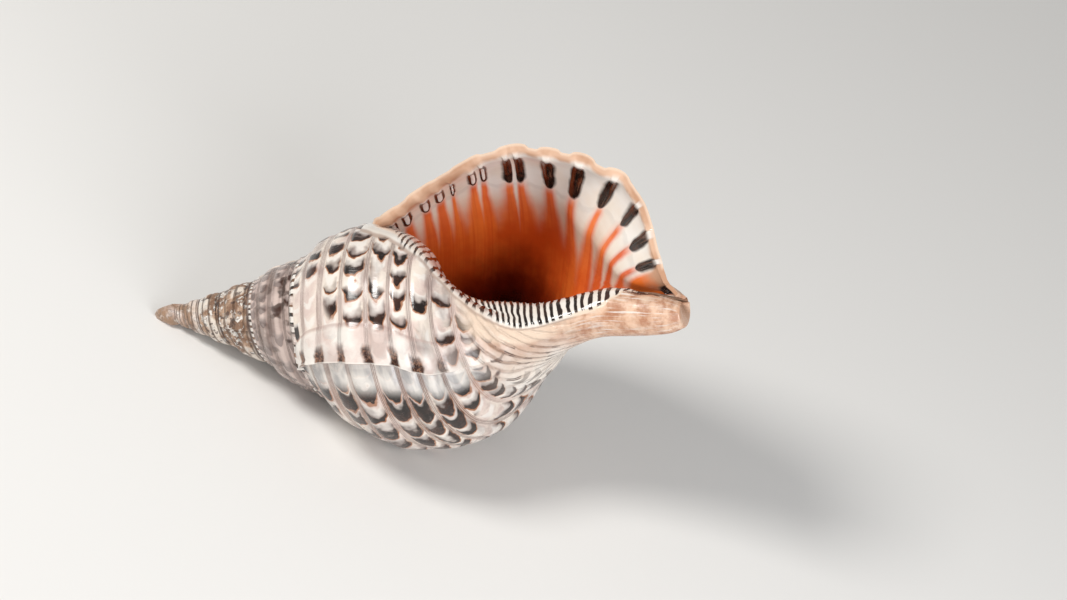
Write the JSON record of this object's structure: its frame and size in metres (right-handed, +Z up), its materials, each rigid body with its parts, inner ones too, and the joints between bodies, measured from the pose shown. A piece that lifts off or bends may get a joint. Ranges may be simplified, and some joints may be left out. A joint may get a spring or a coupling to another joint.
{
  "type": "triton trumpet shell",
  "caption": "Large spindle-shaped sea snail shell with a tall ribbed spire, a flared scalloped outer lip, a glazed inner lip and an open canal, lying with its aperture upwards.",
  "frame": {"origin": "middle of the box, on the surface the shell lies on", "axes": "+X from the apex towards the canal along the shell's length, +Z up, -Y the side the aperture faces"},
  "size_m": [0.2882, 0.1542, 0.1804],
  "materials": {
    "shell": "glossy enamel-like shell carbonate, cream with brown crescents, orange inside the aperture"
  },
  "bodies": {
    "root": {"shell": "shell"}
  },
  "joints": []
}
